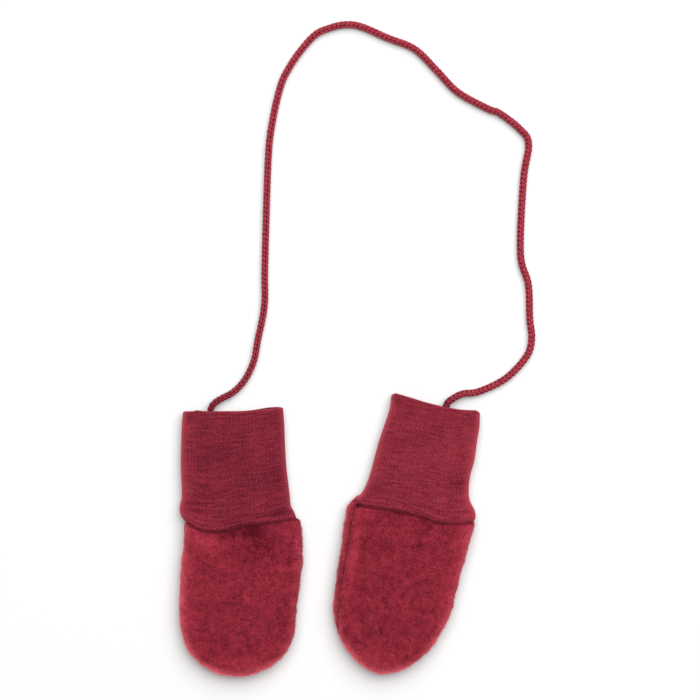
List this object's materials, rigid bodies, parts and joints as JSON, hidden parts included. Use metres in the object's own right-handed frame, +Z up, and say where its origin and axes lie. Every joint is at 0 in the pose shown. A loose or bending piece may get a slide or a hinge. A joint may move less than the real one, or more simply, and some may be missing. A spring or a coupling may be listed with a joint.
{
  "type": "pair of mittens",
  "caption": "Pair of baby mittens of thick wool fleece with folded rib-knit cuffs, laid flat and joined by a knitted cord.",
  "frame": {"origin": "on the floor, at the middle of the box around the two mittens without their cord", "axes": "+Z up; +Y from the finger tips to the cuffs of the left mitten; +X from the left mitten to the right one"},
  "size_m": [0.1988, 0.3666, 0.0125],
  "materials": {
    "wool_fleece": "brushed, felted wool fleece, deep red and mottled",
    "rib_knit": "fine mottled rib knit in two close reds, folded double",
    "knit_cord": "round knitted cord, a little brighter red"
  },
  "bodies": {
    "root": {"left_upper_panel": "wool_fleece", "left_lower_panel": "wool_fleece", "left_cuff": "rib_knit", "right_upper_panel": "wool_fleece", "right_lower_panel": "wool_fleece", "right_cuff": "rib_knit", "cord": "knit_cord"}
  },
  "joints": []
}
